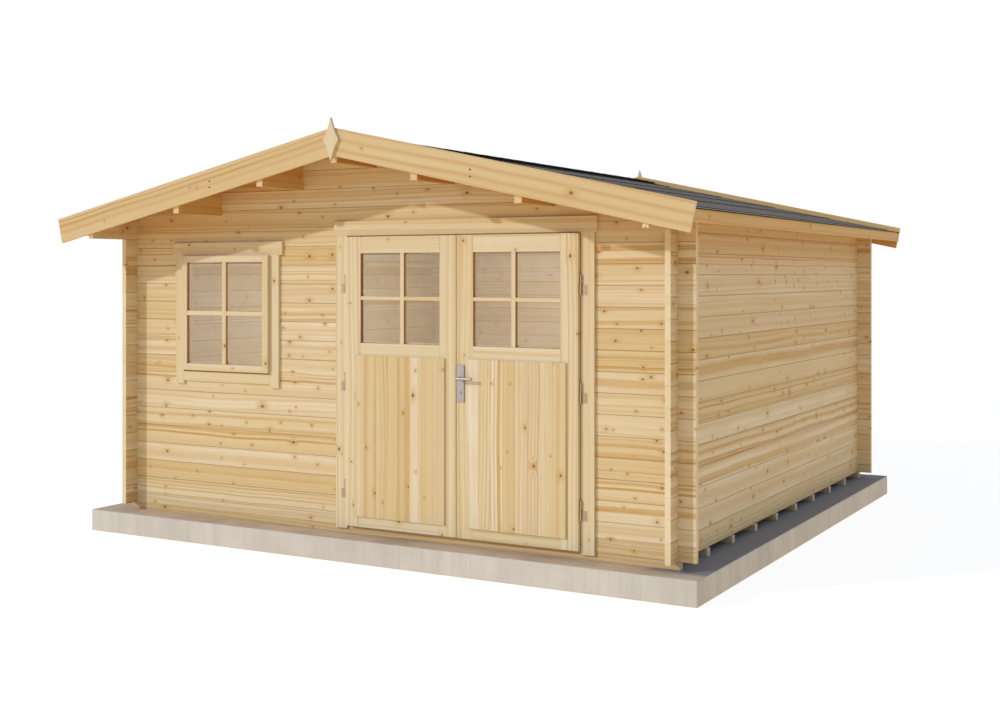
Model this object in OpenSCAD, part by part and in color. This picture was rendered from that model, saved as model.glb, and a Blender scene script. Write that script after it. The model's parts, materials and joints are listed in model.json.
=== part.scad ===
// Garden log cabin: interlocked log walls on joists and a raised concrete slab, a low gable roof
// with bargeboards, a half-glazed double door and one window.
// Millimetres, +Z up, front towards -Y, origin under the slab at the middle of the roof's outline.

/* [Base] */
// Height of the concrete slab
slab_h = 145; // [100:5:180]
// How far the slab reaches beyond the outer wall faces
slab_margin = 185; // [140:5:220]
// How much further the slab reaches on the left
slab_left_extra = 24; // [0:2:40]
// Height of the floor joists
joist_h = 45; // [40:1:60]
// Width of the floor joists
joist_w = 45; // [40:1:60]
// Number of floor joists
joist_count = 10; // [6:1:12]
// How far the joist ends show beyond the side walls
joist_end = 12; // [5:1:30]
// Thickness of the floor boards
floor_t = 19; // [16:1:28]

/* [Log walls] */
// Height that one log course covers
log_h = 121; // [112:1:132]
// Thickness of a log
log_t = 34; // [28:1:44]
// Length of the crossed log ends beyond the wall faces
log_end = 105; // [70:5:130]
// Width across the outer faces of the side walls
wall_w = 4036; // [3900:4:4400]
// Depth across the outer faces of the front and rear walls
wall_d = 3866; // [3400:2:4400]
// Chamfer along the edges of a log
log_chamfer = 3; // [1:0.5:5]
// Width of the tongue on top of a log
tongue_w = 12; // [8:1:14]
// Height of the tongue on top of a log
tongue_h = 8; // [5:1:12]
// Height of the top side log at its outer edge
top_log_h = 135; // [125:1:150]

/* [Roof] */
// Pitch of the roof in degrees
roof_pitch = 12.3; // [10:0.1:15]
// Front overhang to the face of the bargeboards
front_over = 427; // [350:1:500]
// Rear overhang to the face of the bargeboards
rear_over = 279; // [250:1:400]
// Overhang of the bargeboard ends beyond the side walls
eave_over = 269; // [240:1:320]
// Width of a purlin
purlin_w = 45; // [38:1:60]
// Height of a purlin at its middle
purlin_h = 152; // [130:1:165]
// Distance of the inner purlins from the ridge
inner_purlin_x = 565; // [480:5:640]
// Distance of the outer purlins from the ridge
outer_purlin_x = 1245; // [1100:5:1400]
// Thickness of the roof boards
deck_t = 18; // [16:1:24]
// Thickness of the roof covering
felt_t = 5; // [3:0.5:8]
// Width of the ridge cap on each slope
ridge_wing = 150; // [100:5:200]
// Thickness of the ridge cap with its laps
ridge_cap_t = 12; // [4:0.5:16]
// Width of a bargeboard
barge_w = 165; // [140:1:190]
// Thickness of a bargeboard, fascia or finial
board_t = 18; // [15:1:24]
// How far a bargeboard stands above the roof covering
barge_rise = 33; // [15:1:45]
// Height of an eave fascia
fascia_h = 70; // [55:1:90]
// Height of a gable finial
finial_h = 262; // [220:2:300]
// Width of a gable finial
finial_w = 110; // [90:2:130]

/* [Door] */
// Middle of the double door from the middle of the cabin
door_x = 625; // [560:5:680]
// Width of one door leaf
leaf_w = 805; // [760:1:825]
// Thickness of a door leaf
leaf_t = 35; // [30:1:40]
// Width of the leaf stiles and rails
stile_w = 114; // [90:1:125]
// Height of the glazed opening in a leaf
leaf_glass_h = 556; // [450:2:620]
// Height of the rail over the glass of a leaf
top_rail_h = 103; // [80:1:120]
// Height of the leaf's edge over its boarding, up to the glass
lock_rail_h = 77; // [60:1:110]
// Margin from the leaf edge to the raised boarding
panel_margin = 74; // [55:1:85]
// How far the boarding stands out from the leaf
panel_rise = 12; // [4:1:16]
// Thickness of the outer trims
trim_t = 18; // [12:1:22]
// Width of the door trims
door_trim_w = 85; // [65:1:100]
// Height of the door header
header_h = 92; // [80:1:110]

/* [Window] */
// Distance of the window's middle to the left of the middle of the cabin
window_x = 1170; // [1130:2:1250]
// Width of the sash
sash_w = 736; // [650:2:780]
// Width of the sash stiles and rails
sash_bar = 46; // [40:1:60]
// Width of the window trims
window_trim_w = 72; // [60:1:90]
// Height of the window header
window_header_h = 88; // [70:1:100]
// Height of the board under the sash
window_apron_h = 64; // [50:1:75]

/* [Hinges and handle] */
// Height of the lowest hinge above the foot of a leaf
hinge_low = 229; // [180:1:300]
// Height of the middle hinge above the foot of a leaf
hinge_mid = 897; // [700:1:1000]
// Height of the highest hinge above the foot of a leaf
hinge_high = 1510; // [1400:1:1600]
// Height of one half of a hinge
hinge_half_h = 57; // [45:1:70]
// Height of the lever's spindle above the foot of the leaf
spindle_up = 951; // [900:1:1000]
// Distance of the spindle from the free edge of the leaf
spindle_in = 31; // [28:1:36]
// Length of the handle plate
plate_h = 220; // [200:2:240]
// Length of the handle plate below the spindle
plate_below = 140; // [125:1:150]
// Distance of the key cylinder below the spindle
key_drop = 83; // [70:1:100]
// Width of the handle plate
plate_w = 50; // [40:1:54]
// Length of the lever from its spindle
lever_l = 100; // [80:1:120]
// Radius of the lever and its spindle
lever_r = 9; // [7:0.5:10]

/* [Hidden] */
$fn = 48;

// Air gap between pieces that lie on each other, clearance at a notch,
// and how far a cut runs past the faces that it opens
bed = 0.2;
fit = 0.3;
past = 1;

tongue_draft = 1;

// Courses: the side walls start with a whole log, the front and rear walls with half a log
side_rows = 15;
first_window_row = 8;
last_window_row = 14;
lintel_row = 15;
half_w = wall_w / 2;

// Roof lines, measured above the slab
slope = tan(roof_pitch);
eave_z = joist_h + side_rows * log_h + top_log_h;
function roof_z(x) = eave_z + (half_w - abs(x)) * slope;
function row_z(k) = k == 0 ? joist_h : joist_h + (k - 0.5) * log_h;
apex_z = roof_z(0);
gable_rows = [lintel_row + 1 : floor((apex_z - joist_h) / log_h + 0.5)];
deck_v = deck_t / cos(roof_pitch);
felt_low = deck_v + bed;
felt_high = felt_low + felt_t / cos(roof_pitch);
barge_x = half_w + eave_over;
fascia_in = 12;
felt_drip = 8;
fascia_x = barge_x - fascia_in;
felt_x = fascia_x + felt_drip;
deck_x = fascia_x - board_t;
roof_front = -front_over + board_t;
roof_rear = wall_d + rear_over - board_t;
barge_top = apex_z + felt_high + barge_rise;
finial_drop = 73;

// Place of the front wall's face in the part's own frame
total_d = front_over + wall_d + rear_over + 2 * board_t;
wall_front = -total_d / 2 + board_t + front_over;

// Door: leaf edges, the clear opening between the jambs and the cut in the logs
leaf_gap = 5;
leaf_half = leaf_w + leaf_gap / 2;
rest_lap = 18;
jamb_t = 60;
clear_half = leaf_half - rest_lap;
door_cut = clear_half + jamb_t + bed;
leaf_lift = 7;
leaf_head_gap = 66.5;
leaf_bottom = joist_h + leaf_lift;
door_head_z = row_z(lintel_row + 1);
leaf_top = door_head_z - leaf_head_gap;
leaf_play = 5;
leaf_back = -leaf_play;
leaf_front = leaf_back - leaf_t;
trim_in = leaf_half + leaf_play;
trim_out = trim_in + door_trim_w;
header_lift = 7;
header_over = 15;
trim_drop = 15;
header_z = leaf_top + header_lift;
glass_top = leaf_top - top_rail_h;
glass_bottom = glass_top - leaf_glass_h;
panel_top = glass_bottom - lock_rail_h;
panel_foot = 66;
panel_bottom = leaf_bottom + panel_foot;
panel_lap = stile_w - panel_margin;
panel_back = 8;
glass_t = 4;
glass_inset = 16;
glass_y = leaf_front + glass_inset;

// Hinges: the axis stands beside the leaf, in front of the trim
hinge_out = 8;
hinge_r = 7;
pin_r = 4;
pin_play = 0.05;
pin_short = 8;
hinge_split = 0.5;
hinge_clear = 2;
flap_t = 3;
flap_w = 36;
flap_in = 2;
flap_set = 1;
flap_lap = 6;
hinge_y = -trim_t - hinge_r - hinge_clear;
hinge_zs = [for (up = [hinge_low, hinge_mid, hinge_high]) leaf_bottom + up];

// Window: whole courses are cut out, the frame closes the rest
window_z0 = row_z(first_window_row);
window_z1 = row_z(last_window_row + 1);
window_mid = -window_x;
sash_foot = 26;
sash_head = 54;
sash_z0 = window_z0 + sash_foot;
sash_z1 = window_z1 - sash_head;
sash_half = sash_w / 2;
window_jamb = 50;
window_clear = sash_half - rest_lap;
window_cut = window_clear + window_jamb + bed;
window_trim_drop = 95;
window_header_over = 28;
apron_gap = 10;

// Lever handle on the free edge of the right leaf
spindle_x = door_x + leaf_gap / 2 + spindle_in;
spindle_z = leaf_bottom + spindle_up;
spindle_play = 5;
plate_t = 8;
lever_reach = 45;
key_r = 9;
key_rise = 3;
key_play = 1;

module on_site() {
    translate([0, wall_front, slab_h]) children();
}

// A block between two corners
module block(low, high) {
    translate(low) cube(high - low);
}

// Outline of the groove under a log, from left to right
function groove_points() =
    let (m = log_t / 2, w = tongue_w / 2 + fit, h = tongue_h + fit)
        [[m - w, 0], [m - w, h], [m + w, h], [m + w, 0]];

// Cross-section of a log, across the wall and then up: chamfered edges, a tongue and a groove.
// The lowest course has no groove.
module log_section(h, grooved = true) {
    c = log_chamfer;
    m = log_t / 2;
    w = tongue_w / 2;
    polygon(concat([[c, 0]], grooved ? groove_points() : [], [[log_t - c, 0], [log_t, c], [log_t, h - c],
            [log_t - c, h], [m + w, h], [m + w - tongue_draft, h + tongue_h],
            [m - w + tongue_draft, h + tongue_h], [m - w, h], [c, h], [0, h - c], [0, c]]));
}

// A profile drawn across X and Z, run along Y
module run_along_y(y0, y1) {
    translate([0, y1, 0]) rotate([90, 0, 0]) linear_extrude(y1 - y0) children();
}

// Notches of a front or rear log where both side walls cross it
module side_crossings(z0, z1) {
    for (x = [-half_w, half_w - log_t])
        block([x - fit, -past, z0], [x + log_t + fit, log_t + past, z1]);
}

// Course k of the front or rear wall between two places along X
module cross_log(k, x0, x1) {
    z = row_z(k);
    h = (k == 0 ? log_h / 2 : log_h) - bed;
    neck = joist_h + k * log_h;
    difference() {
        translate([x0, 0, z]) rotate([90, 0, 90]) linear_extrude(x1 - x0) log_section(h, k > 0);
        if (k > 0) side_crossings(z - past, neck - log_h / 4 + bed / 2);
        side_crossings(neck + log_h / 4 - bed / 2, z + h + tongue_h + past);
    }
}

// Notches of a side log where the front and rear walls cross it
module end_crossings(z0, z1) {
    for (y = [0, wall_d - log_t])
        block([-past, y - fit, z0], [log_t + past, y + log_t + fit, z1]);
}

// One side wall with its outer face towards +X: whole courses and the long top log under the roof
module side_wall() {
    translate([half_w - log_t, 0, 0]) {
        for (j = [0 : side_rows - 1]) {
            z = joist_h + j * log_h;
            difference() {
                translate([0, 0, z]) run_along_y(-log_end, wall_d + log_end) log_section(log_h - bed, j > 0);
                end_crossings(z - past, z + log_h / 4 + bed / 2);
                end_crossings(z + log_h * 3 / 4 - bed / 2, z + log_h + tongue_h + past);
            }
        }
        top_log(joist_h + side_rows * log_h);
    }
}

// Top side log, bevelled to the roof and run out under both overhangs
module top_log(z) {
    c = log_chamfer;
    outer = top_log_h - bed;
    difference() {
        translate([0, 0, z]) run_along_y(roof_front, roof_rear)
            polygon(concat([[c, 0]], groove_points(), [[log_t - c, 0], [log_t, c], [log_t, outer],
                           [0, outer + log_t * slope], [0, c]]));
        end_crossings(z - past, z + log_h / 4 + bed / 2);
        end_crossings(z + log_h * 3 / 4 - bed / 2, z + top_log_h + log_t);
    }
}

// Gable courses under the roof, cut to its slope and notched for the purlins
module gable_logs() {
    difference() {
        intersection() {
            for (k = gable_rows) cross_log(k, -half_w - log_end, half_w + log_end);
            run_along_y(-past, log_t + past)
                polygon([[-barge_x, 0], [barge_x, 0], [barge_x, roof_z(barge_x) - bed],
                         [0, apex_z - bed], [-barge_x, roof_z(barge_x) - bed]]);
        }
        for (x = [-outer_purlin_x, -inner_purlin_x, 0, inner_purlin_x, outer_purlin_x])
            block([x - purlin_w / 2 - fit, -past, roof_z(x) - purlin_h - bed],
                  [x + purlin_w / 2 + fit, log_t + past, apex_z + past]);
    }
}

module purlin(x) {
    w = purlin_w / 2;
    z = roof_z(x) - purlin_h;
    run_along_y(roof_front, roof_rear)
        polygon(concat([[x - w, z], [x + w, z], [x + w, roof_z(x + w) - bed]],
                       x == 0 ? [[0, apex_z - bed]] : [],
                       [[x - w, roof_z(x - w) - bed]]));
}

// A layer of the right roof slope, from one height above the rafters' line to another
module roof_layer(x_end, low, high) {
    ridge_gap = 0.3;
    run_along_y(roof_front, roof_rear)
        polygon([[ridge_gap, roof_z(ridge_gap) + low], [x_end, roof_z(x_end) + low],
                 [x_end, roof_z(x_end) + high], [ridge_gap, roof_z(ridge_gap) + high]]);
}

// The right bargeboard, drawn in the gable's plane; its foot is cut square to the slope
module bargeboard_outline() {
    ridge_gap = 0.5;
    end_z = barge_top - barge_x * slope;
    foot = [barge_x - barge_w * sin(roof_pitch), end_z - barge_w * cos(roof_pitch)];
    peak_z = barge_top - ridge_gap * slope;
    polygon([[ridge_gap, peak_z], [barge_x, end_z], foot, [ridge_gap, peak_z - barge_w / cos(roof_pitch)]]);
}

module bargeboards(y) {
    for (side = [0, 1])
        mirror([side, 0, 0]) run_along_y(y, y + board_t) bargeboard_outline();
}

// Diamond board with slightly hollow edges
module finial(y) {
    hollow = 5;
    steps = 6;
    corners = [[0, 1], [1, 0], [0, -1], [-1, 0]];
    size = [finial_w / 2, finial_h / 2];
    points = [for (i = [0 : 3]) for (s = [0 : steps - 1])
        let (t = s / steps,
             a = corners[i],
             b = corners[(i + 1) % 4],
             p = a + (b - a) * t,
             dip = 1 - 4 * t * (1 - t) * 2 * hollow / finial_w)
            [p[0] * size[0] * dip, p[1] * size[1] * dip]];
    translate([0, 0, barge_top - finial_drop]) run_along_y(y, y + board_t) polygon(points);
}

// Trims around an opening as separate boards: two sides and a header
module trim_set(x, y0, inner, outer, z0, z_head, head_h, head_out) {
    for (side = [-1, 1])
        block([x + (side < 0 ? -outer : inner), y0, z0],
              [x + (side < 0 ? -inner : outer), y0 + trim_t, z_head - bed]);
    block([x - head_out, y0, z_head], [x + head_out, y0 + trim_t, z_head + head_h]);
}

// Stiles between two places, rails between the stiles; each is a bar of its own
module bar_frame(x0, x1, y0, y1, z0, z1, side, rails) {
    block([x0, y0, z0], [x0 + side, y1, z1]);
    block([x1 - side, y0, z0], [x1, y1, z1]);
    for (r = rails)
        block([x0 + side + bed, y0, r[0]], [x1 - side - bed, y1, r[1]]);
}

// The right leaf; the left one is its mirror image about the middle of the door
module at_leaf(side) {
    translate([door_x, 0, 0]) mirror([side < 0 ? 1 : 0, 0, 0]) children();
}

module leaf_frame() {
    bar_frame(leaf_gap / 2, leaf_half, leaf_front, leaf_back, leaf_bottom, leaf_top, stile_w,
              [[leaf_bottom, panel_bottom + panel_lap], [panel_top - panel_lap, glass_bottom],
               [glass_top, leaf_top]]);
}

module leaf_panel() {
    x0 = leaf_gap / 2;
    block([x0 + panel_margin, leaf_front - panel_rise, panel_bottom],
          [leaf_half - panel_margin, leaf_front, panel_top]);
    block([x0 + stile_w, leaf_front - panel_rise / 2, panel_bottom + panel_lap],
          [leaf_half - stile_w, leaf_back - panel_back, panel_top - panel_lap]);
}

module leaf_glass() {
    block([leaf_gap / 2 + stile_w, glass_y, glass_bottom],
          [leaf_half - stile_w, glass_y + glass_t, glass_top]);
}

// Upper knuckle and its flap on the edge of the leaf
module leaf_hinge(z) {
    low = z + hinge_split;
    difference() {
        union() {
            translate([leaf_half + hinge_out, hinge_y, low]) cylinder(r = hinge_r, h = hinge_half_h);
            block([leaf_half, leaf_front + flap_set, low],
                  [leaf_half + flap_t, hinge_y + flap_lap, low + hinge_half_h]);
        }
        translate([leaf_half + hinge_out, hinge_y, z - past])
            cylinder(r = pin_r + pin_play, h = hinge_half_h - pin_short / 2);
    }
}

// Lower knuckle with the pin and its flap on the trim
module frame_hinge(z) {
    low = z - hinge_split - hinge_half_h;
    translate([leaf_half + hinge_out, hinge_y, low]) {
        cylinder(r = hinge_r, h = hinge_half_h);
        cylinder(r = pin_r, h = 2 * hinge_half_h - pin_short);
    }
    block([leaf_half + hinge_out + flap_in, -trim_t - flap_t, low],
          [leaf_half + hinge_out + flap_w, -trim_t, low + hinge_half_h]);
}

module concrete_slab() {
    color("gainsboro") on_site()
        block([-half_w - slab_margin - slab_left_extra, -slab_margin, -slab_h],
              [half_w + slab_margin, wall_d + slab_margin, 0]);
}

module floor_joists() {
    pitch = (wall_d - joist_w) / (joist_count - 1);
    color("peru") on_site()
        for (i = [0 : joist_count - 1])
            block([-half_w - joist_end, i * pitch, 0], [half_w + joist_end, i * pitch + joist_w, joist_h]);
}

module floor_deck() {
    play = 3;
    inner = half_w - log_t - play;
    color("burlywood") on_site()
        block([-inner, log_t + play, joist_h], [inner, wall_d - log_t - play, joist_h + floor_t]);
}

module left_wall() {
    color("wheat") on_site() mirror([1, 0, 0]) side_wall();
}

module right_wall() {
    color("wheat") on_site() side_wall();
}

module rear_wall() {
    color("wheat") on_site() translate([0, wall_d - log_t, 0])
        for (k = [0 : lintel_row]) cross_log(k, -half_w - log_end, half_w + log_end);
}

module rear_gable() {
    color("wheat") on_site() translate([0, wall_d - log_t, 0]) gable_logs();
}

module front_wall_below_window() {
    color("wheat") on_site() difference() {
        for (k = [0 : first_window_row - 1]) cross_log(k, -half_w - log_end, door_x - door_cut);
        block([window_mid - window_cut, -past, window_z0 - bed],
              [window_mid + window_cut, log_t + past, window_z0 + log_h]);
    }
}

module front_wall_left_pier() {
    color("wheat") on_site()
        for (k = [first_window_row : last_window_row])
            cross_log(k, -half_w - log_end, window_mid - window_cut);
}

module front_wall_middle_pier() {
    color("wheat") on_site()
        for (k = [first_window_row : last_window_row])
            cross_log(k, window_mid + window_cut, door_x - door_cut);
}

module front_wall_right_pier() {
    color("wheat") on_site()
        for (k = [0 : lintel_row]) cross_log(k, door_x + door_cut, half_w + log_end);
}

// The log over the window and the courses over the door
module front_gable() {
    color("wheat") on_site() {
        cross_log(lintel_row, -half_w - log_end, door_x - door_cut);
        gable_logs();
    }
}

module ridge_purlin() {
    color("wheat") on_site() purlin(0);
}

module left_purlins() {
    color("wheat") on_site()
        for (x = [inner_purlin_x, outer_purlin_x]) purlin(-x);
}

module right_purlins() {
    color("wheat") on_site()
        for (x = [inner_purlin_x, outer_purlin_x]) purlin(x);
}

module left_roof_deck() {
    color("burlywood") on_site() mirror([1, 0, 0]) roof_layer(deck_x, 0, deck_v);
}

module right_roof_deck() {
    color("burlywood") on_site() roof_layer(deck_x, 0, deck_v);
}

module left_roof_covering() {
    color("dimgray") on_site() mirror([1, 0, 0]) roof_layer(felt_x, felt_low, felt_high);
}

module right_roof_covering() {
    color("dimgray") on_site() roof_layer(felt_x, felt_low, felt_high);
}

module ridge_cap() {
    low = felt_high + bed;
    high = low + ridge_cap_t;
    edge_z = roof_z(ridge_wing);
    color("dimgray") on_site() run_along_y(roof_front, roof_rear)
        polygon([[0, apex_z + low], [ridge_wing, edge_z + low], [ridge_wing, edge_z + high],
                 [0, apex_z + high], [-ridge_wing, edge_z + high], [-ridge_wing, edge_z + low]]);
}

module eave_fascias() {
    top = roof_z(fascia_x) + deck_v - bed;
    color("wheat") on_site()
        for (side = [0, 1])
            mirror([side, 0, 0])
                block([deck_x, roof_front, top - fascia_h], [fascia_x, roof_rear, top]);
}

module front_bargeboards() {
    color("wheat") on_site() bargeboards(-front_over);
}

module rear_bargeboards() {
    color("wheat") on_site() bargeboards(roof_rear);
}

module front_finial() {
    color("wheat") on_site() finial(-front_over - board_t);
}

module rear_finial() {
    color("wheat") on_site() finial(wall_d + rear_over);
}

// Two jambs and the head over the leaves
module door_frame() {
    color("wheat") on_site() {
        for (side = [-1, 1])
            at_leaf(side) block([clear_half, 0, joist_h], [clear_half + jamb_t, log_t, door_head_z - bed]);
        block([door_x - clear_half + bed, 0, leaf_top - rest_lap],
              [door_x + clear_half - bed, log_t, door_head_z - bed]);
    }
}

module door_threshold() {
    color("peru") on_site()
        block([door_x - clear_half, 0, joist_h], [door_x + clear_half, log_t, joist_h + floor_t]);
}

module door_trims() {
    color("wheat") on_site()
        trim_set(door_x, -trim_t, trim_in, trim_out, joist_h - trim_drop, header_z, header_h,
                 trim_out + header_over);
}

// Trims on the inner faces of the door and the window
module inner_trims() {
    color("wheat") on_site() {
        trim_set(door_x, log_t, clear_half, clear_half + door_trim_w, joist_h + floor_t, leaf_top - rest_lap,
                 header_h, clear_half + door_trim_w);
        trim_set(window_mid, log_t, window_clear, window_clear + window_trim_w, sash_z0 - window_trim_drop,
                 sash_z1 - rest_lap, window_header_h, window_clear + window_trim_w);
        window_apron(log_t, window_clear, sash_z0 + rest_lap - bed);
    }
}

// Board under the window, between the side trims
module window_apron(y0, half, top) {
    block([window_mid - half + bed, y0, top - window_apron_h], [window_mid + half - bed, y0 + trim_t, top]);
}

// Lining of the window's cut: two jambs, sill and head
module window_frame() {
    low = window_z0 + bed;
    high = window_z1 - 2 * bed;
    color("wheat") on_site()
        bar_frame(window_mid - window_cut + bed, window_mid + window_cut - bed, 0, log_t, low, high,
                  window_jamb, [[low, sash_z0 + rest_lap], [sash_z1 - rest_lap, high]]);
}

// The sash lies on the front of the lining, between the trims
module window_sash() {
    color("wheat") on_site()
        bar_frame(window_mid - sash_half, window_mid + sash_half, leaf_front, 0, sash_z0, sash_z1, sash_bar,
                  [[sash_z0, sash_z0 + sash_bar], [sash_z1 - sash_bar, sash_z1]]);
}

module window_glass() {
    edge = sash_half - sash_bar;
    color("lightblue", 0.4) on_site()
        block([window_mid - edge, glass_y, sash_z0 + sash_bar],
              [window_mid + edge, glass_y + glass_t, sash_z1 - sash_bar]);
}

module window_trims() {
    outer = sash_half + window_trim_w;
    color("wheat") on_site() {
        trim_set(window_mid, -trim_t, sash_half + bed, outer, sash_z0 - window_trim_drop, sash_z1 + bed,
                 window_header_h, outer + window_header_over);
        window_apron(-trim_t, sash_half, sash_z0 - apron_gap);
    }
}

module left_leaf_frame() {
    color("wheat") on_site() at_leaf(-1) leaf_frame();
}

module left_leaf_panel() {
    color("burlywood") on_site() at_leaf(-1) leaf_panel();
}

module left_leaf_glass() {
    color("lightblue", 0.4) on_site() at_leaf(-1) leaf_glass();
}

module left_leaf_hinges() {
    color("silver") on_site()
        for (z = hinge_zs) at_leaf(-1) leaf_hinge(z);
}

// The free stile has a hole for the lever's spindle and one for the key cylinder
module right_leaf_frame() {
    color("wheat") on_site() difference() {
        at_leaf(1) leaf_frame();
        across_leaf(leaf_back + past, 0) cylinder(r = lever_r + spindle_play, h = leaf_t + 2 * past);
        across_leaf(leaf_back + past, key_drop) cylinder(r = key_r + key_play, h = leaf_t + 2 * past);
    }
}

// Places a cylinder along -Y from a depth, at the spindle or below it
module across_leaf(y, drop) {
    translate([spindle_x, y, spindle_z - drop]) rotate([90, 0, 0]) children();
}

module right_leaf_panel() {
    color("burlywood") on_site() at_leaf(1) leaf_panel();
}

module right_leaf_glass() {
    color("lightblue", 0.4) on_site() at_leaf(1) leaf_glass();
}

module right_leaf_hinges() {
    color("silver") on_site()
        for (z = hinge_zs) at_leaf(1) leaf_hinge(z);
}

module door_frame_hinges() {
    color("silver") on_site()
        for (side = [-1, 1]) for (z = hinge_zs) at_leaf(side) frame_hinge(z);
}

// A long plate on each face of the leaf, with the round bearing of the spindle and a key cylinder
module handle_plates() {
    low = spindle_z - plate_below;
    half = plate_w / 2;
    color("silver") on_site()
        for (y0 = [leaf_front - plate_t, leaf_back])
            difference() {
                union() {
                    block([spindle_x - half, y0, low], [spindle_x + half, y0 + plate_t, low + plate_h]);
                    across_leaf(y0 + plate_t + key_rise, key_drop)
                        cylinder(r = key_r, h = plate_t + 2 * key_rise);
                }
                across_leaf(y0 + plate_t + past, 0) cylinder(r = lever_r + pin_play, h = plate_t + 2 * past);
            }
}

// Spindle through the leaf with a lever on each side
module lever_handle() {
    y_out = leaf_front - plate_t - lever_reach;
    y_in = leaf_back + plate_t + lever_reach;
    color("silver") on_site() translate([spindle_x, 0, spindle_z]) {
        translate([0, y_in, 0]) rotate([90, 0, 0]) cylinder(r = lever_r, h = y_in - y_out);
        for (y = [y_out, y_in]) translate([0, y, 0]) {
            rotate([0, 90, 0]) cylinder(r = lever_r, h = lever_l);
            sphere(r = lever_r);
            translate([lever_l, 0, 0]) sphere(r = lever_r);
        }
    }
}

concrete_slab();
floor_joists();
floor_deck();
left_wall();
right_wall();
rear_wall();
rear_gable();
front_wall_below_window();
front_wall_left_pier();
front_wall_middle_pier();
front_wall_right_pier();
front_gable();
ridge_purlin();
left_purlins();
right_purlins();
left_roof_deck();
right_roof_deck();
left_roof_covering();
right_roof_covering();
ridge_cap();
eave_fascias();
front_bargeboards();
rear_bargeboards();
front_finial();
rear_finial();
door_frame();
door_threshold();
door_trims();
inner_trims();
window_frame();
window_sash();
window_glass();
window_trims();
left_leaf_frame();
left_leaf_panel();
left_leaf_glass();
left_leaf_hinges();
right_leaf_frame();
right_leaf_panel();
right_leaf_glass();
right_leaf_hinges();
door_frame_hinges();
handle_plates();
lever_handle();
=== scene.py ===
"""Looks of a garden log cabin: pine logs and boards, roofing felt, glazing, screws and a concrete slab.

All sizes are in metres, in the part's own frame: +Z up, the front with the door towards -Y.
"""
import json
import math

import bmesh
import bpy
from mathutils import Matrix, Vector


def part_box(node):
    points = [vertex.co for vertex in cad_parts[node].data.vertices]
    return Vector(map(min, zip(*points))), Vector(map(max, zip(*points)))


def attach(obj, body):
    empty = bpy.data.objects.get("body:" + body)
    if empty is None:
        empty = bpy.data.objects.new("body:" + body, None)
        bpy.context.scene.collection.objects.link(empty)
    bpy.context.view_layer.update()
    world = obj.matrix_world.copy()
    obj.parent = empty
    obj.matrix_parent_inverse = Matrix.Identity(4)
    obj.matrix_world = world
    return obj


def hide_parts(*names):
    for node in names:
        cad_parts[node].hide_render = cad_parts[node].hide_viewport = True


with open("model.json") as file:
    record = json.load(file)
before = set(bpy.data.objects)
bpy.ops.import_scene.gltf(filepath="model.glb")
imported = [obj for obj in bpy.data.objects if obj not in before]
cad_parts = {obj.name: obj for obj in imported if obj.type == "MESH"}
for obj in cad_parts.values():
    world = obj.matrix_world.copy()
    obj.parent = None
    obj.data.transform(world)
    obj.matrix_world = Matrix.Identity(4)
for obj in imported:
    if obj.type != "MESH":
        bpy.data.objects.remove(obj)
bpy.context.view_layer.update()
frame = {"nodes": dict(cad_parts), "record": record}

# Camera of the photograph: place, heading, lens, the shift that raises the horizon, and how far it sees
CAMERA_PLACE = (4.743, -8.699, 1.763)
CAMERA_HEADING = 0.5116
LENS_MM = 48.05
SENSOR_MM = 36.0
HORIZON_SHIFT = -0.0803
VIEW_REACH = 400.0

# Sun and a soft fill from the front: directions of travel, strengths, colours and sizes
SUN_TRAVEL = (2.9, 3.4, -2.1)
SUN_STRENGTH = 1.5
SUN_COLOUR = (1.0, 0.97, 0.92)
SUN_ANGLE = math.radians(1.6)
FILL_TRAVEL = (0.1, 1.0, -0.1)
FILL_STRENGTH = 0.12
FILL_COLOUR = (1.0, 0.97, 0.8)
FILL_ANGLE = math.radians(60)

# Even light of the sky, and the background that the camera, mirrors and glass see
SKY_COLOUR = (0.42, 0.5, 0.62, 1.0)
SKY_STRENGTH = 1.0
WHITE = (1.0, 1.0, 1.0, 1.0)

# Lamp in the room
ROOM_LAMP_PLACE = (0.0, 0.1, 1.5)
ROOM_LAMP_RADIUS = 0.6
ROOM_LAMP_POWER = 108.0
ROOM_LAMP_COLOUR = (0.72, 0.84, 1.0)

# Floor: half its width, its place under the slab, its own finish, the warm glow that it gives to other rays
# as painted bounce light, and the glow that the camera sees
FLOOR_HALF = 60.0
FLOOR_DROP = 0.0005
FLOOR_COLOUR = (0.25, 0.25, 0.25, 1.0)
FLOOR_ROUGHNESS = 0.9
FLOOR_BOUNCE_GLOW = (0.9, 0.62, 0.24, 1.0)
FLOOR_GLOW = (0.86, 0.86, 0.86, 1.0)

# Boards: pitch and thickness of the roof boards, widths, chamfers at the joints, and the gap between boards
ROOF_PITCH = math.radians(12.3)
DECK_T = 0.018
ROOF_BOARD_W = 0.0985
FLOOR_BOARD_W = 0.0925
LEAF_BOARD_COUNT = 8
ROOF_JOINT = 0.003
FLOOR_JOINT = 0.0015
LEAF_JOINT = 0.0009
BOARD_GAP = 0.0002

# Soft edges: radii, steps of the rounding, the least angle that is rounded, and the reach of the weld
BOARD_ROUND = 0.002
BAR_ROUND = 0.0018
SLAB_ROUND = 0.008
ROUND_STEPS = 2
ROUND_FROM = math.radians(40)
WELD_REACH = 0.00002

# Roofing felt: widths of the strips that show, the places of their joints, thicknesses, and the ridge pieces
EAVE_STRIP = 0.10
FELT_STRIP = 0.46
RIDGE_STRIP = 0.30
STRIP_JOINTS = (0.38, 0.67)
STRIP_THIN = 0.0012
BASE_SHEET = 0.001
CAP_LENGTH = 0.252
CAP_LAP = 0.0015
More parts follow.
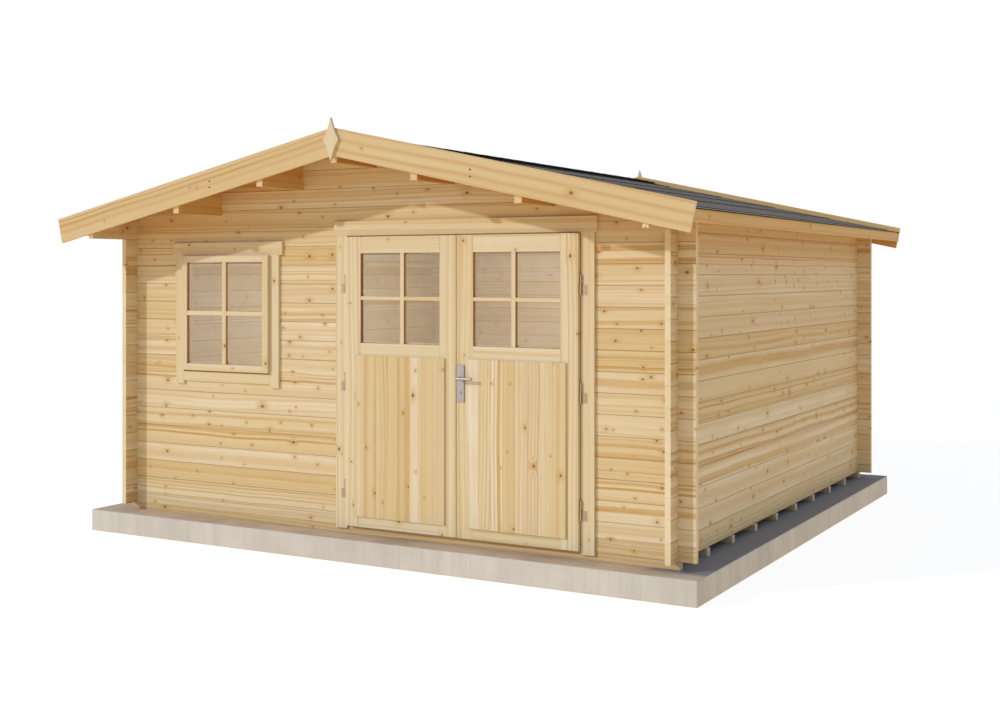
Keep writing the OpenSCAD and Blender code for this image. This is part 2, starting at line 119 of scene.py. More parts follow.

# Glazing: bars, the outline of a bead as shares of its size, and the tape, partly painted shade beside the
# bars
LEAF_BAR_W = 0.029
LEAF_BAR_H = 0.023
LEAF_BAR_SHIFT = 0.018
WINDOW_BAR_W = 0.033
WINDOW_BAR_H = 0.030
BAR_SETBACK = 0.0015
CROSSBAR_SETBACK = 0.0004
BEAD = 0.010
BEAD_OUTLINE = ((0, 0), (1, 0), (0.85, 0.55), (0.45, 0.9), (0, 1))
SHADE_TAPE_T = 0.0012
SHADE_TAPE_SETBACK = 0.003

# Screws: the pair on each bargeboard, radii of the heads, and the form of a head with its star recess
BARGE_SCREW_X = 0.95
BARGE_SCREW_DROP = 0.099
BARGE_SCREW_GAP = 0.0385
BARGE_SCREW_R = 0.006
HINGE_SCREW_R = 0.0042
PLATE_SCREW_R = 0.004
SCREW_RISE = 0.0008
SCREW_SIDES = 12
HEAD_TOP = 0.86
STAR_SIZE = 0.42
STAR_WAVE = 0.22
STAR_FLOOR = 0.0001

# Hinges: the flaps on the trims, the places of their screws, and a gap in height found only between hinges
FLAP_T = 0.003
HINGE_SCREW_EDGE = 0.014
HINGE_SCREW_DROPS = (0.014, 0.044)
HINGES_APART = 0.2

# Handle plates: screws from the ends, the key cylinder below the lever and its rise, and a dark strip on it,
# painted shade for its slot
PLATE_SCREW_EDGE = 0.012
KEY_DROP = 0.083
KEY_RISE = 0.003
SLOT_HALF = 0.0012
SLOT_BELOW = 0.005
SLOT_ABOVE = 0.004
SLOT_RISE = 0.0003

# Pine knots: scatter, share at which distances along a board count, spread across it, radii,
# the edge of the dark core in radii, and how fast the swirl round it fades
KNOT_SCATTER = 0.9
KNOT_ALONG = 0.8
KNOT_SPREAD = 0.11
KNOT_SMALLEST = 0.0032
KNOT_GROWTH = 0.0075
KNOT_EDGE = (0.55, 1.25)
SWIRL_FALL = -0.09
# Layers of knots: share of the knots a metre, factor of the seed, and the part of them that shows
KNOT_LAYERS = ((1.0, 71.0, 0.62), (0.6, 133.0, 0.5))

# Pine rings: wander, spread and depth of the pith, rings and colour bands a metre, and where they show
PITH_WANDER = 0.04
WANDERS_PER_METRE = 0.7
PITH_SPREAD = 0.14
PITH_NEAREST = 0.012
PITH_DEPTH = 0.08
RINGS_PER_METRE = 235.0
BANDS_PER_METRE = 44.0
BAND_DETAIL = 4.0
BAND_ROUGHNESS = 0.55
BAND_RISE = (0.4, 0.68)
LATE_RISE = (0.45, 0.95)

# Pine fibres and clouds a metre along, across and through a board, and where the clouds show
FIBRES = (7.0, 330.0, 330.0)
CLOUD_ALONG = 1.3
CLOUD_ACROSS = 11.0
CLOUD_RISE = (0.38, 0.7)

# Factors that turn the seed of a solid into separate draws, and its place into a part of that seed
TINT_SEED = 913.7
WANDER_SEED = 311.0
BAND_SEED = 57.0
CLOUD_SEED = 90.0
FELT_SEED = 517.3
PLACE_SEEDS = (3.17, 5.71, 7.13)

# Pine: how far each feature pulls the colour, how far end faces lose rings and streaks, and which are ends
CLOUD_SHARE = 0.4
LATE_SHARE = 0.1
FIBRE_SHARE = 0.16
END_SHARE = 0.45
SWIRL_SHARE = 0.5
CORE_SHARE = 0.8
END_FADE = 0.75
END_SLOPE = (0.9, 0.95)

# Pine surface: heights of bands, late wood, fibres and knots, strength and depth of the bump,
# and roughness as its change with the fibres and its least value
GRAIN_HEIGHTS = (0.6, 0.25, 0.3, -0.4)
GRAIN_BUMP = (0.4, 0.0007)
PINE_ROUGHNESS = (0.2, 0.5)

# Walls: slopes at which a chamfer begins and ends, how far faces in the room are calmed,
# and how deep the joints of these faces lie
CHAMFER_FROM = (0.3, 0.5)
CHAMFER_TO = (0.85, 0.95)
ROOM_CALM = 0.6
ROOM_DEPTH = 0.006

# Concrete: patterns as noise scale, detail and roughness, their stretch along X, Y and Z, and air holes
BLOTCHES = (1.7, 5.0, 0.6)
STREAKS = (1.0, 4.0, 0.6)
STREAK_STRETCH = (9.0, 9.0, 1.1)
MARKS = (1.0, 2.0, 0.5)
MARK_STRETCH = (55.0, 55.0, 2.5)
SAND = (160.0, 3.0, 0.7)
HOLES_PER_METRE = 34.0
# Where these patterns show, and how far they pull the colour
BLOTCH_RISE = (0.35, 0.7)
STREAK_RISE = (0.42, 0.75)
MARK_RISE = (0.56, 0.72)
HOLE_EDGE = (0.05, 0.1)
STREAK_SHARE = 0.45
MARK_SHARE = 0.25
SAND_SHARE = 0.3
HOLE_SHARE = 0.6
# Concrete surface: heights of sand, blotches and holes, strength and depth of the bump, and roughness
CONCRETE_HEIGHTS = (0.5, 0.5, -1.2)
CONCRETE_BUMP = (0.5, 0.0015)
CONCRETE_ROUGHNESS = (0.2, 0.75)
# Top of the slab: its slope and share, wear, and the places beside the walls from which shade is painted on
# it
TOP_SLOPE = (0.6, 0.95)
TOP_SHARE = 0.85
WEAR = (1.0, 5.0, 0.65)
WEAR_PER_METRE = 2.0
WEAR_RISE = (0.4, 0.65)
WEAR_SHARE = 0.6
PAINTED_SHADE_FROM = 1.82
PAINTED_SHADE_FRONT = -1.96
PAINTED_SHADE_BLEND = 0.08

# Felt: granules and clouds as noise scale, detail and roughness, shades by strip and by cloud,
# where granules show and how far, the slope from edges to top, bump and roughness
GRANULES = (420.0, 2.0, 0.8)
FELT_CLOUDS = (5.0, 3.0, 0.6)
FELT_SHADES = (0.6, 0.4)
GRANULE_RISE = (0.52, 0.7)
GRANULE_SHARE = 0.7
FELT_SLOPE = (0.4, 0.8)
GRANULE_BUMP = (0.3, 0.0008)
FELT_ROUGHNESS = (0.3, 0.65)

# Steel: brush lines with their stretch, smears, how far both roughen it, and bump
BRUSH = (1.0, 2.0, 0.6)
BRUSH_STRETCH = (60.0, 60.0, 2600.0)
SMEARS = (35.0, 3.0, 0.6)
BRUSH_ROUGHENS = 0.12
SMEAR_ROUGHENS = 0.12
BRUSH_BUMP = (0.12, 0.0002)

# Glazing tape, whose brown is partly painted shade: mottle, bump and roughness
MOTTLE = (90.0, 3.0, 0.6)
MOTTLE_BUMP = (0.3, 0.0004)
SHADE_TAPE_ROUGHNESS = (0.2, 0.6)

# Glass: dust and where it shows, tints of clean and dusty panes, and the faces of a pane that mirror
DUST = (9.0, 5.0, 0.65)
DUST_RISE = (0.45, 0.8)
CLEAN_PANE = (0.97, 0.97, 0.96, 1.0)
DUSTY_PANE = (0.93, 0.93, 0.92, 1.0)
GLASS_IOR = 1.5
GLASS_ROUGHNESS = 0.03
PANE_FACES = 2.0

# Gloss of pine and concrete
DULL_GLOSS = 0.25


def srgb(red, green, blue):
    """A colour given as 0 to 255 screen values, as linear RGBA."""
    def linear(value):
        share = value / 255
        return share / 12.92 if share <= 0.04045 else ((share + 0.055) / 1.055) ** 2.4
    return (linear(red), linear(green), linear(blue), 1.0)


KNOT_BROWN = srgb(106, 64, 30)
END_GRAIN = srgb(228, 216, 188)
ROOM_PINE = srgb(212, 193, 152)
CONCRETE_PALE = srgb(204, 203, 203)
CONCRETE_GREY = srgb(188, 187, 187)
STREAK_GREY = srgb(176, 174, 173)
MARK_GREY = srgb(158, 156, 154)
SAND_GREY = srgb(214, 213, 212)
HOLE_BROWN = srgb(118, 112, 105)
TOP_PLAIN = srgb(206, 184, 156)
TOP_WORN = srgb(160, 138, 118)
TOP_PAINTED_SHADE = srgb(112, 114, 119)
FELT_EDGE = srgb(18, 16, 14)
# Glazing tape: a brown that partly paints the shade on the sides of the bars
SHADE_TAPE_DARK = srgb(150, 78, 10)
SHADE_TAPE_LIGHT = srgb(176, 102, 22)


class Nodes:
    """Short calls for building a node tree."""

    def __init__(self, tree):
        self.tree = tree

    def add(self, kind, inputs=None, **settings):
        """A new node with its settings, and its inputs by name or number."""
        node = self.tree.nodes.new(kind)
        for name, value in settings.items():
            setattr(node, name, value)
        for key, value in (inputs or {}).items():
            self.feed(self.socket(node, key), value)
        return node

    def find(self, kind):
        """The first node of a kind."""
        return next(n for n in self.tree.nodes if n.type == kind)

    def socket(self, node, key):
        """An input by its number, or by its name among those in use."""
        if isinstance(key, int):
            return node.inputs[key]
        return next(s for s in node.inputs if s.name == key and s.enabled)

    def out(self, node, key):
        """An output by its name among those in use."""
        return next(s for s in node.outputs if s.name == key and s.enabled)

    def feed(self, socket, value):
        """Links a socket, or sets its own value."""
        if isinstance(value, bpy.types.NodeSocket):
            self.tree.links.new(value, socket)
        else:
            socket.default_value = value

    def math(self, operation, a, b=0.0, clamp=False):
        node = self.add("ShaderNodeMath", {0: a, 1: b}, operation=operation, use_clamp=clamp)
        return node.outputs[0]

    def vector(self, operation, a, b):
        return self.add("ShaderNodeVectorMath", {0: a, 1: b}, operation=operation).outputs[0]

    def total(self, *values):
        result = values[0]
        for value in values[1:]:
            result = self.math("ADD", result, value)
        return result

    def scaled(self, value, factor, offset=0.0):
        node = self.add("ShaderNodeMath", {0: value, 1: factor, 2: offset}, operation="MULTIPLY_ADD")
        return node.outputs[0]

    def weighted(self, values, shares):
        """The sum of values, each multiplied by its share."""
        return self.total(*(self.scaled(value, share) for value, share in zip(values, shares)))

    def spread(self, value, width):
        """A draw from 0 to 1 as a place on both sides of a middle."""
        return self.scaled(value, width, -width / 2)

    def length(self, a, b):
        squares = self.math("ADD", self.math("MULTIPLY", a, a), self.math("MULTIPLY", b, b))
        return self.math("SQRT", squares)

    def rise(self, value, low, high):
        """0 below low, 1 above high, smooth between."""
        node = self.add("ShaderNodeMapRange", {"Value": value, "From Min": low, "From Max": high},
                        interpolation_type="SMOOTHSTEP")
        return self.out(node, "Result")

    def mix(self, factor, a, b):
        node = self.add("ShaderNodeMix", {"Factor": factor, "A": a, "B": b}, data_type="RGBA")
        return self.out(node, "Result")

    def stain(self, colour, mask, share, tone):
        """A colour that a share of a mask pulls towards a tone."""
        return self.mix(self.scaled(mask, share), colour, tone)

    def choose(self, factor, a, b):
        node = self.add("ShaderNodeMix", {"Factor": factor, "A": a, "B": b}, data_type="FLOAT")
        return self.out(node, "Result")

    def split(self, vector):
        return self.add("ShaderNodeSeparateXYZ", {0: vector}).outputs

    def join(self, x, y, z):
        return self.add("ShaderNodeCombineXYZ", {0: x, 1: y, 2: z}).outputs[0]

    def stretched(self, axes, factors):
        """A place whose axes are each multiplied by a factor of their own."""
        return self.join(*(self.scaled(axis, factor) for axis, factor in zip(axes, factors)))

    def attribute(self, name, output):
        return self.add("ShaderNodeAttribute", attribute_name=name).outputs[output]

    def place(self):
        return self.add("ShaderNodeTexCoord").outputs["Object"]

    def upward(self):
        """The Z part of the face's normal."""
        return self.split(self.add("ShaderNodeNewGeometry").outputs["True Normal"])[2]

    def noise(self, vector, scale=1.0, detail=2.0, roughness=0.5):
        inputs = {"Vector": vector, "Scale": scale, "Detail": detail, "Roughness": roughness}
        return self.add("ShaderNodeTexNoise", inputs, noise_dimensions="3D").outputs[0]

    def noise_line(self, value, detail=2.0, roughness=0.5):
        inputs = {"W": value, "Scale": 1.0, "Detail": detail, "Roughness": roughness}
        return self.add("ShaderNodeTexNoise", inputs, noise_dimensions="1D").outputs[0]

    def random(self, value):
        """Three random numbers that belong to a value."""
        node = self.add("ShaderNodeTexWhiteNoise", {"W": value}, noise_dimensions="1D")
        return self.split(node.outputs["Color"])

    def bump(self, height, strength, depth):
        """A normal that follows a height."""
        inputs = {"Strength": strength, "Distance": depth, "Height": height}
        return self.add("ShaderNodeBump", inputs).outputs[0]


def new_material(name):
    """An empty node material with its Principled shader."""
    material = bpy.data.materials.new(name)
    material.use_nodes = True
    nodes = Nodes(material.node_tree)
    return material, nodes, nodes.find("BSDF_PRINCIPLED")


def set_surface(nodes, shader, colour, roughness, normal):
    """Feeds the three inputs that every surface but glass and floor has."""
    nodes.feed(shader.inputs["Base Color"], colour)
    nodes.feed(shader.inputs["Roughness"], roughness)
    nodes.feed(shader.inputs["Normal"], normal)


def knot_layer(nodes, along, across, seed, per_metre, step, share):
    """Knots at random places along a board: dark core, swirl, and bend of the rings."""
    place = nodes.scaled(along, per_metre, nodes.math("MULTIPLY", seed, step))
    cells = nodes.add("ShaderNodeTexVoronoi", {"W": place, "Scale": 1.0, "Randomness": KNOT_SCATTER},
                      voronoi_dimensions="1D")
    chance = nodes.split(cells.outputs["Color"])
    gap_along = nodes.scaled(nodes.math("SUBTRACT", nodes.out(cells, "W"), place), KNOT_ALONG / per_metre)
    gap_across = nodes.math("SUBTRACT", across, nodes.spread(chance[0], KNOT_SPREAD))
    size = nodes.scaled(nodes.math("MULTIPLY", chance[1], chance[1]), KNOT_GROWTH, KNOT_SMALLEST)
    shown = nodes.math("LESS_THAN", chance[2], share)
    distance = nodes.math("DIVIDE", nodes.length(gap_along, gap_across), size)
    core = nodes.math("MULTIPLY", shown, nodes.math("SUBTRACT", 1.0, nodes.rise(distance, *KNOT_EDGE)))
    fall = nodes.math("EXPONENT", nodes.scaled(nodes.math("MULTIPLY", distance, distance), SWIRL_FALL))
    swirl = nodes.math("MULTIPLY", shown, fall)
    return core, swirl, nodes.math("MULTIPLY", swirl, size)


def pith_distance(nodes, grain, seed, chance):
    """Distance from a pith that lies near the board and wanders along it."""
    along, across, through = grain
    wander_place = nodes.scaled(along, WANDERS_PER_METRE, nodes.math("MULTIPLY", seed, WANDER_SEED))
    wander = nodes.noise_line(wander_place)
    side = nodes.total(across, nodes.spread(wander, PITH_WANDER), nodes.spread(chance[0], PITH_SPREAD))
    depth = nodes.total(through, nodes.scaled(chance[1], PITH_DEPTH, PITH_NEAREST))
    return nodes.length(side, depth)


def board_clouds(nodes, grain, seed):
    """Broad patches of deeper colour along a board."""
    along, across, through = grain
    shifted = nodes.total(nodes.scaled(along, CLOUD_ALONG), nodes.scaled(seed, CLOUD_SEED))
    place = nodes.join(shifted, nodes.scaled(across, CLOUD_ACROSS), nodes.scaled(through, CLOUD_ACROSS))
    return nodes.rise(nodes.noise(place), *CLOUD_RISE)


def room_faces(nodes):
    """1 on the faces of the walls that look into the room, with the chamfers of their joints."""
    x, y = nodes.split(nodes.place())[:2]
    left = nodes.math("GREATER_THAN", x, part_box("left_wall")[1].x - ROOM_DEPTH)
    right = nodes.math("LESS_THAN", x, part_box("right_wall")[0].x + ROOM_DEPTH)
    front = nodes.math("GREATER_THAN", y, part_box("front_wall_below_window")[1].y - ROOM_DEPTH)
    rear = nodes.math("LESS_THAN", y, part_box("rear_wall")[0].y + ROOM_DEPTH)
    return nodes.math("MULTIPLY", nodes.math("MULTIPLY", left, right), nodes.math("MULTIPLY", front, rear))


def wall_tones(nodes, colour, joint_shade):
    """Darker chamfers between the logs of a wall, and calmer faces in the room."""
    level = nodes.math("ABSOLUTE", nodes.upward())
    sloping = nodes.rise(level, *CHAMFER_FROM)
    chamfer = nodes.math("SUBTRACT", sloping, nodes.rise(level, *CHAMFER_TO))
    colour = nodes.stain(colour, chamfer, joint_shade, KNOT_BROWN)
    return nodes.stain(colour, room_faces(nodes), ROOM_CALM, ROOM_PINE)


def pine(name, pale, honey, amber, knots, streaks, variety=0.7, joint_shade=0.0):
    """Planed pine: growth rings round a pith near the board, knots, fibres and a tint for each board."""
    material, nodes, shader = new_material(name)
    grain = nodes.split(nodes.attribute("grain", "Vector"))
    seed = nodes.attribute("seed", "Fac")
    end_face = nodes.attribute("end", "Fac")
    chance = nodes.random(nodes.math("MULTIPLY", seed, TINT_SEED))

    layers = [knot_layer(nodes, grain[0], grain[1], seed, knots * part, step, share)
              for part, step, share in KNOT_LAYERS]
    cores, swirls, bends = zip(*layers)
    core = nodes.math("MAXIMUM", *cores)
    swirl = nodes.math("MAXIMUM", *swirls)
    radius = nodes.total(pith_distance(nodes, grain, seed, chance), *bends)

    band_place = nodes.scaled(radius, BANDS_PER_METRE, nodes.math("MULTIPLY", seed, BAND_SEED))
    bands = nodes.noise_line(band_place, BAND_DETAIL, BAND_ROUGHNESS)
    side_face = nodes.scaled(end_face, -END_FADE, 1.0)
    streak = nodes.math("MULTIPLY", side_face, nodes.rise(bands, *BAND_RISE))
    ring = nodes.rise(nodes.math("FRACT", nodes.math("MULTIPLY", radius, RINGS_PER_METRE)), *LATE_RISE)
    late = nodes.math("MULTIPLY", side_face, ring)
    fibre = nodes.noise(nodes.stretched(grain, FIBRES))

    colour = nodes.mix(nodes.scaled(chance[2], variety), pale, honey)
    streak_share = nodes.scaled(chance[0], streaks, streaks / 2)
    colour = nodes.mix(nodes.math("MULTIPLY", streak, streak_share), colour, amber)
    colour = nodes.stain(colour, board_clouds(nodes, grain, seed), CLOUD_SHARE, honey)
    colour = nodes.stain(colour, late, LATE_SHARE, amber)
    colour = nodes.stain(colour, fibre, FIBRE_SHARE, pale)
    colour = nodes.stain(colour, end_face, END_SHARE, END_GRAIN)
    colour = nodes.stain(colour, swirl, SWIRL_SHARE, amber)
    colour = nodes.stain(colour, core, CORE_SHARE, KNOT_BROWN)
    if joint_shade:
        colour = wall_tones(nodes, colour, joint_shade)
    height = nodes.weighted((bands, late, fibre, core), GRAIN_HEIGHTS)
    roughness = nodes.scaled(fibre, *PINE_ROUGHNESS)
    set_surface(nodes, shader, colour, roughness, nodes.bump(height, *GRAIN_BUMP))
    shader.inputs["Specular IOR Level"].default_value = DULL_GLOSS
    return material


def slab_top(nodes, x, y):
    """Colour of the slab's top: worn patches, and painted shade beside the right and rear walls."""
    wear_place = nodes.join(nodes.scaled(x, WEAR_PER_METRE), nodes.scaled(y, WEAR_PER_METRE), 0.0)
    wear = nodes.rise(nodes.noise(wear_place, *WEAR), *WEAR_RISE)
    top = nodes.stain(TOP_PLAIN, wear, WEAR_SHARE, TOP_WORN)
    # Painted shade: the top is darker beside the right and rear walls, where the cabin shades it
    beside = nodes.rise(nodes.math("MAXIMUM", x, y), PAINTED_SHADE_FROM, PAINTED_SHADE_FROM + PAINTED_SHADE_BLEND)
    shaded = nodes.math("MULTIPLY", beside, nodes.rise(y, PAINTED_SHADE_FRONT, PAINTED_SHADE_FRONT + PAINTED_SHADE_BLEND))
    return nodes.mix(shaded, top, TOP_PAINTED_SHADE)


def concrete():
    """Cast concrete: blotches, streaks down the sides, sand grain, air holes and a top of its own colour."""
    material, nodes, shader = new_material("cast_concrete")
    place = nodes.place()
    axes = nodes.split(place)
    blotch = nodes.noise(place, *BLOTCHES)
    streak = nodes.rise(nodes.noise(nodes.stretched(axes, STREAK_STRETCH), *STREAKS), *STREAK_RISE)
    mark = nodes.rise(nodes.noise(nodes.stretched(axes, MARK_STRETCH), *MARKS), *MARK_RISE)
    sand = nodes.noise(place, *SAND)
    holes = nodes.add("ShaderNodeTexVoronoi", {"Vector": place, "Scale": HOLES_PER_METRE})
    hole = nodes.math("SUBTRACT", 1.0, nodes.rise(holes.outputs["Distance"], *HOLE_EDGE))
    colour = nodes.mix(nodes.rise(blotch, *BLOTCH_RISE), CONCRETE_PALE, CONCRETE_GREY)
    colour = nodes.stain(colour, streak, STREAK_SHARE, STREAK_GREY)
    colour = nodes.stain(colour, mark, MARK_SHARE, MARK_GREY)
    colour = nodes.stain(colour, sand, SAND_SHARE, SAND_GREY)
    colour = nodes.stain(colour, hole, HOLE_SHARE, HOLE_BROWN)
    top_face = nodes.rise(nodes.upward(), *TOP_SLOPE)
    # The top's colour carries painted shade beside the right and rear walls
    colour = nodes.stain(colour, top_face, TOP_SHARE, slab_top(nodes, axes[0], axes[1]))
    height = nodes.weighted((sand, blotch, hole), CONCRETE_HEIGHTS)
    roughness = nodes.scaled(sand, *CONCRETE_ROUGHNESS)
    set_surface(nodes, shader, colour, roughness, nodes.bump(height, *CONCRETE_BUMP))
    shader.inputs["Specular IOR Level"].default_value = DULL_GLOSS
    return material


def felt(name, dark, light, granules, gloss):
    """Mineral roofing felt: granules, a shade for each strip, and dark edges."""
    material, nodes, shader = new_material(name)
    place = nodes.place()
    chance = nodes.random(nodes.math("MULTIPLY", nodes.attribute("seed", "Fac"), FELT_SEED))
    granule = nodes.noise(place, *GRANULES)
    cloud = nodes.noise(place, *FELT_CLOUDS)
    shade = nodes.weighted((chance[0], cloud), FELT_SHADES)
    colour = nodes.mix(nodes.math("MULTIPLY", shade, 1.0, clamp=True), dark, light)
    colour = nodes.stain(colour, nodes.rise(granule, *GRANULE_RISE), GRANULE_SHARE, granules)
    colour = nodes.mix(nodes.rise(nodes.upward(), *FELT_SLOPE), FELT_EDGE, colour)
    roughness = nodes.scaled(granule, *FELT_ROUGHNESS)
    set_surface(nodes, shader, colour, roughness, nodes.bump(granule, *GRANULE_BUMP))
    shader.inputs["Specular IOR Level"].default_value = gloss
    return material


def steel(name, dark, light, rough):
    """Brushed steel with fine lines across the piece."""
    material, nodes, shader = new_material(name)
    brush = nodes.noise(nodes.stretched(nodes.split(nodes.place()), BRUSH_STRETCH), *BRUSH)
    smear = nodes.noise(nodes.place(), *SMEARS)
    roughness = nodes.total(nodes.scaled(brush, BRUSH_ROUGHENS, rough), nodes.scaled(smear, SMEAR_ROUGHENS))
    set_surface(nodes, shader, nodes.mix(brush, dark, light), roughness, nodes.bump(brush, *BRUSH_BUMP))
    shader.inputs["Metallic"].default_value = 1.0
    return material


def glass():
    """Clear float glass with faint dust: front faces mirror for both faces, and lamps shine through."""
    material, nodes, shader = new_material("float_glass")
    material.node_tree.nodes.remove(shader)
    dust = nodes.rise(nodes.noise(nodes.place(), *DUST), *DUST_RISE)
    clear = nodes.add("ShaderNodeBsdfTransparent", {"Color": nodes.mix(dust, CLEAN_PANE, DUSTY_PANE)})
    mirror = nodes.add("ShaderNodeBsdfGlossy", {"Roughness": GLASS_ROUGHNESS})
    front = nodes.math("SUBTRACT", 1.0, nodes.add("ShaderNodeNewGeometry").outputs["Backfacing"])
    fresnel = nodes.add("ShaderNodeFresnel", {"IOR": GLASS_IOR}).outputs[0]
    gloss = nodes.math("MULTIPLY", front, nodes.math("MULTIPLY", fresnel, PANE_FACES, clamp=True))
    both = nodes.add("ShaderNodeMixShader", {0: gloss, 1: clear.outputs[0], 2: mirror.outputs[0]})
    nodes.feed(nodes.find("OUTPUT_MATERIAL").inputs["Surface"], both.outputs[0])
    return material


def painted_shade_tape():
    """Amber-brown glazing tape with a dull, slightly mottled face; its brown is partly painted shade on the
    bar sides.
    """
    material, nodes, shader = new_material("glazing_tape_painted_shade")
    mottle = nodes.noise(nodes.place(), *MOTTLE)
    colour = nodes.mix(mottle, SHADE_TAPE_DARK, SHADE_TAPE_LIGHT)
    roughness = nodes.scaled(mottle, *SHADE_TAPE_ROUGHNESS)
    set_surface(nodes, shader, colour, roughness, nodes.bump(mottle, *MOTTLE_BUMP))
    return material


PINE_LOG = pine("planed_pine_log", srgb(229, 221, 202), srgb(208, 184, 130), srgb(188, 145, 72),
                knots=3.9, streaks=0.8, variety=0.9, joint_shade=0.22)
PINE_BOARD = pine("planed_pine_board", srgb(223, 215, 194), srgb(213, 197, 158), srgb(201, 171, 114),
                  knots=1.4, streaks=0.6)
PINE_PANEL = pine("door_pine_board", srgb(229, 222, 206), srgb(208, 187, 136), srgb(190, 150, 80),
                  knots=1.6, streaks=0.8, variety=0.9)
PINE_GOLDEN = pine("golden_pine_board", srgb(215, 197, 158), srgb(206, 178, 128), srgb(186, 142, 80),
                   knots=1.4, streaks=0.7)
# Amber pine: the own tone of the rear bargeboards, fascias and threshold, and partly painted shade on the
# purlins
PINE_AMBER = pine("amber_pine_board", srgb(213, 180, 122), srgb(203, 160, 96), srgb(182, 128, 60),
                  knots=1.4, streaks=0.6)
# Roof boards, seen only from below: pine whose deep orange is partly painted shade, the warm dimness under
# the eaves
PINE_SHADE_ORANGE = pine("orange_pine_painted_shade", srgb(194, 112, 44), srgb(180, 94, 32), srgb(154, 74, 22),
                   knots=1.8, streaks=0.6)
CONCRETE = concrete()
FELT = felt("mineral_felt", srgb(62, 57, 52), srgb(104, 97, 88), srgb(124, 117, 107), gloss=0.2)
# Pale felt for the eave strip: a painted highlight on the lit edge of the roof
EAVE_HIGHLIGHT_FELT = felt("eave_felt_painted_highlight", srgb(132, 124, 112), srgb(160, 152, 138), srgb(172, 164, 150), gloss=0.2)
RIDGE_FELT = felt("ridge_felt", srgb(10, 10, 9), srgb(17, 16, 15), srgb(28, 27, 25), gloss=0.05)
STEEL = steel("brushed_steel", srgb(138, 133, 127), srgb(182, 177, 170), rough=0.34)
HINGE_STEEL = steel("hinge_steel", srgb(146, 126, 98), srgb(198, 176, 142), rough=0.24)
BRONZED_STEEL = steel("bronzed_steel", srgb(74, 52, 34), srgb(112, 82, 54), rough=0.4)
# Near-black steel for the key slots: painted shade of a recess that is not cut
SLOT_SHADE_STEEL = steel("key_slot_painted_shade", srgb(52, 50, 48), srgb(84, 81, 77), rough=0.4)
PAINTED_SHADE_TAPE = painted_shade_tape()
GLASS = glass()


def solid_extent(nodes, island, tilt):
    """The corners of each solid's box, and the points, with each half of the part turned by the tilt."""
    position = nodes.add("GeometryNodeInputPosition").outputs[0]
    side = nodes.math("SIGN", nodes.split(position)[0])
    turn = {"Vector": position, "Axis": (0.0, 1.0, 0.0), "Angle": nodes.math("MULTIPLY", side, tilt)}
    turned = nodes.add("ShaderNodeVectorRotate", turn).outputs[0]
    extent = nodes.add("GeometryNodeFieldMinAndMax", data_type="FLOAT_VECTOR", domain="POINT")
    nodes.feed(nodes.socket(extent, "Value"), turned)
    nodes.feed(nodes.socket(extent, "Group ID"), island)
    return nodes.out(extent, "Min"), nodes.out(extent, "Max"), turned


# Comparison and extreme that find the longest or the shortest side of a box
LONGEST = ("GREATER_THAN", "MAXIMUM")
SHORTEST = ("LESS_THAN", "MINIMUM")


def along_side(nodes, size, vector, compare, extreme):
    """The part of a vector along the longest or the shortest side of a box."""
    size_x, size_y, size_z = size
    x, y, z = vector
    of_yz = nodes.choose(nodes.math(compare, size_y, size_z), z, y)
    return nodes.choose(nodes.math(compare, size_x, nodes.math(extreme, size_y, size_z)), of_yz, x)


def solid_seed(nodes, island, low):
    """A number from 0 to 1 that belongs to one solid."""
    draw = nodes.add("FunctionNodeRandomValue", data_type="FLOAT")
    nodes.feed(nodes.socket(draw, "ID"), island)
    places = [nodes.scaled(axis, factor) for axis, factor in zip(nodes.split(low), PLACE_SEEDS)]
    return nodes.math("FRACT", nodes.total(nodes.out(draw, "Value"), *places))


def store(nodes, geometry, name, value, data_type="FLOAT", domain="POINT"):
    """Geometry that also carries a value under a name."""
    node = nodes.add("GeometryNodeStoreNamedAttribute", data_type=data_type, domain=domain)
    for key, source in (("Geometry", geometry), ("Name", name), ("Value", value)):
        nodes.feed(nodes.socket(node, key), source)
    return node.outputs[0]


def grain_group():
    """Modifier that stores the grain of each solid: along, across and through it, its ends and a seed."""
    group = bpy.data.node_groups.new("board_grain", "GeometryNodeTree")
    group.interface.new_socket("Geometry", in_out="INPUT", socket_type="NodeSocketGeometry")
    group.interface.new_socket("Tilt", in_out="INPUT", socket_type="NodeSocketFloat")
    group.interface.new_socket("Geometry", in_out="OUTPUT", socket_type="NodeSocketGeometry")
    nodes = Nodes(group)
    start = nodes.add("NodeGroupInput")
    island = nodes.add("GeometryNodeInputMeshIsland").outputs[0]
    low, high, turned = solid_extent(nodes, island, start.outputs["Tilt"])
    size = nodes.split(nodes.vector("SUBTRACT", high, low))
    middle = nodes.vector("MULTIPLY", nodes.vector("ADD", high, low), (0.5, 0.5, 0.5))
    local = nodes.split(nodes.vector("SUBTRACT", turned, middle))
    along = along_side(nodes, size, local, *LONGEST)
    through = along_side(nodes, size, local, *SHORTEST)
    across = nodes.math("SUBTRACT", nodes.total(*local), nodes.math("ADD", along, through))
    normal = nodes.split(nodes.add("GeometryNodeInputNormal").outputs[0])
    facing = nodes.math("ABSOLUTE", along_side(nodes, size, normal, *LONGEST))
    grain = nodes.join(along, across, through)
    geometry = store(nodes, start.outputs["Geometry"], "grain", grain, data_type="FLOAT_VECTOR")
    geometry = store(nodes, geometry, "end", nodes.rise(facing, *END_SLOPE), domain="FACE")
    geometry = store(nodes, geometry, "seed", solid_seed(nodes, island, low))
    nodes.feed(nodes.add("NodeGroupOutput").inputs[0], geometry)
    return group


GRAIN = grain_group()


def add_bevel(piece, width):
    """Rounds the edges; vertices that lie on each other are joined first."""
    weld = piece.modifiers.new("join", "WELD")
    weld.merge_threshold = WELD_REACH
    if width:
        bevel = piece.modifiers.new("soft_edges", "BEVEL")
        bevel.width = width
        bevel.segments = ROUND_STEPS
        bevel.limit_method = "ANGLE"
        bevel.angle_limit = ROUND_FROM


